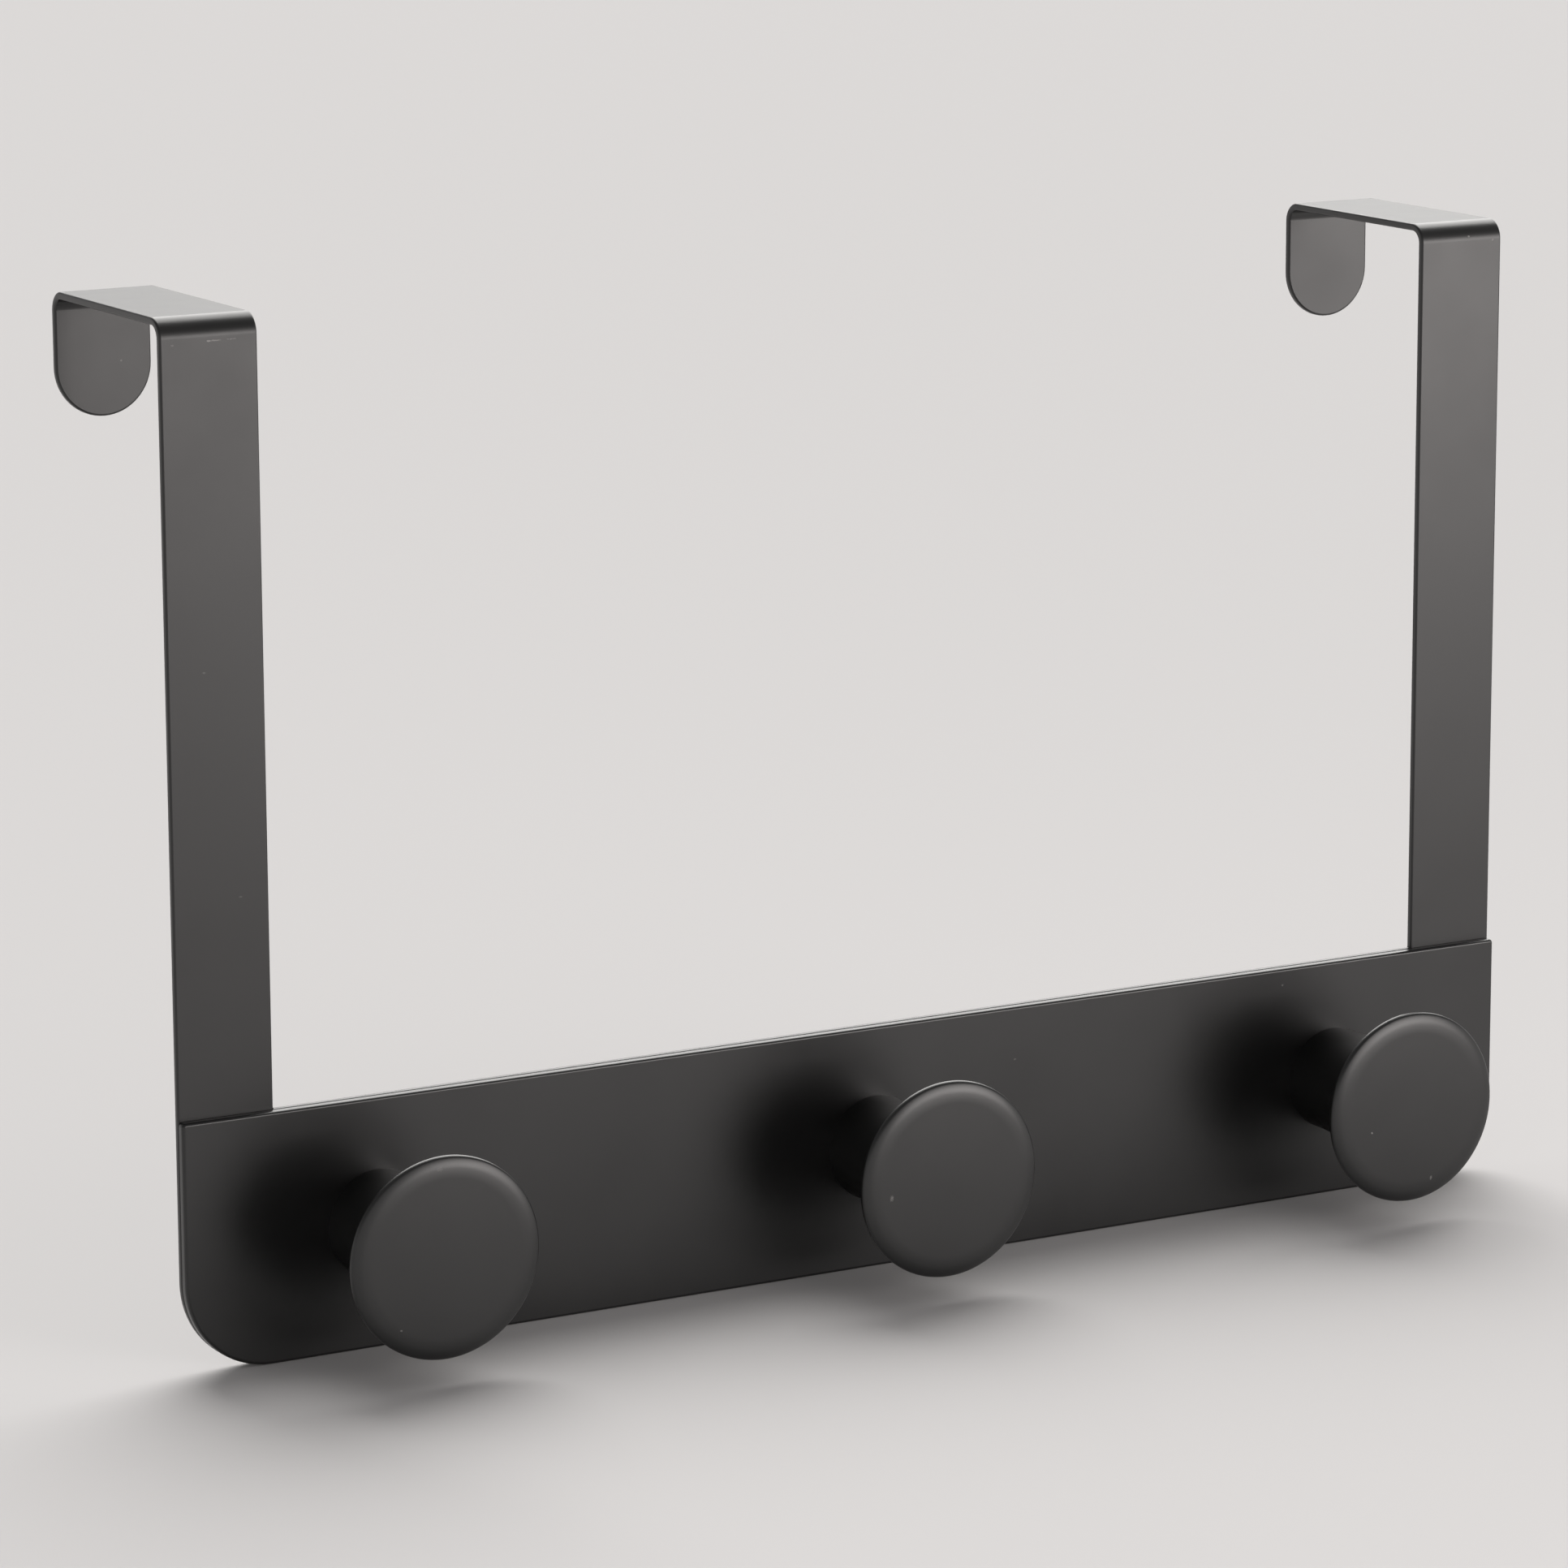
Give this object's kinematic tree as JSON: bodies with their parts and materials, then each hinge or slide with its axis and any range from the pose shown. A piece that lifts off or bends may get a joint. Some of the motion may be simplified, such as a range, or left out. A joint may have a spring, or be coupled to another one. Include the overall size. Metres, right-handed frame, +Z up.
{
  "type": "over door hook",
  "caption": "Folded steel hanger that hooks over the top of a door and carries a flat front plate with mushroom knobs for clothes and bags.",
  "frame": {"origin": "where the door's top edge meets the door's front face, midway between the two straps", "axes": "+X along the width, to the right as seen from the front; +Y into the door, away from the viewer; +Z up"},
  "size_m": [0.305, 0.0825, 0.2035],
  "materials": {
    "frame_coat": "satin black powder coat",
    "plate_coat": "satin black powder coat",
    "knob_coat": "satin black powder coat",
    "screw_steel": "bright zinc plating"
  },
  "bodies": {
    "root": {"hanger_frame": "frame_coat", "front_plate": "plate_coat", "knob_left": "knob_coat", "knob_centre": "knob_coat", "knob_right": "knob_coat", "screw_left": "screw_steel", "screw_centre": "screw_steel", "screw_right": "screw_steel"}
  },
  "joints": []
}
